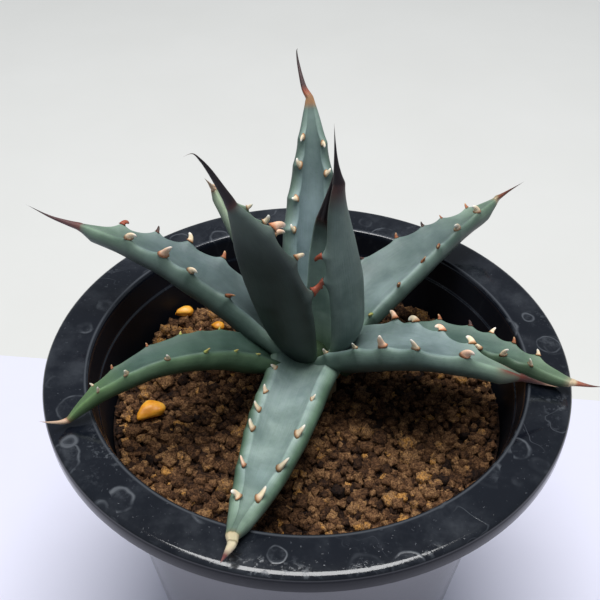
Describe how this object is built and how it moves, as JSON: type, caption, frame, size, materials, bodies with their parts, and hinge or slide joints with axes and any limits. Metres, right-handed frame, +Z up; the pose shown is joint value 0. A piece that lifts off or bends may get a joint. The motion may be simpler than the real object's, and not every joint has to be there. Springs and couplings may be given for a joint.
{
  "type": "potted agave",
  "caption": "Small toothed blue-grey agave rosette rooted in brown grit in a round black plastic nursery pot with a wide flat rim, for use as a living plant prop.",
  "frame": {"origin": "centre of the pot's flat underside, on the surface it stands on", "axes": "+Z up along the pot's axis; +X to the right and +Y to the back as the plant is usually viewed"},
  "size_m": [0.1627, 0.1512, 0.203],
  "materials": {
    "pot_black": "glossy injection-moulded black plastic with dried water rings and fine scratches on the flange",
    "net_black": "matt moulded net",
    "grit_brown": "porous fired clay granules of mixed browns, matt",
    "stem_pale": "fibrous pale plant tissue",
    "leaf_glaucous": "living leaf, blue-grey waxy bloom, soft sheen, cream and rust teeth, dark spine",
    "leaf_green": "living leaf, greener and thinly waxed, soft sheen, cream teeth, tan spine",
    "leaf_shaded": "living leaf, smooth dark teal back with pale bloom, near-black spine",
    "pebble_amber": "worn amber pebble, slightly translucent look, matt"
  },
  "bodies": {
    "root": {"pot": "pot_black", "drain_net": "net_black", "grit": "grit_brown", "stem_and_roots": "stem_pale", "leaf_front": "leaf_glaucous", "leaf_right": "leaf_glaucous", "leaf_left_upper": "leaf_glaucous", "leaf_right_upper": "leaf_glaucous", "leaf_back": "leaf_glaucous", "leaf_right_lower": "leaf_green", "leaf_left_lower": "leaf_green", "leaf_behind_left": "leaf_green", "leaf_centre_left": "leaf_shaded", "leaf_centre_right": "leaf_shaded", "leaf_spear": "leaf_shaded", "pebble_front_left": "pebble_amber", "pebble_back_left": "pebble_amber", "pebble_back_left_small": "pebble_amber"}
  },
  "joints": []
}
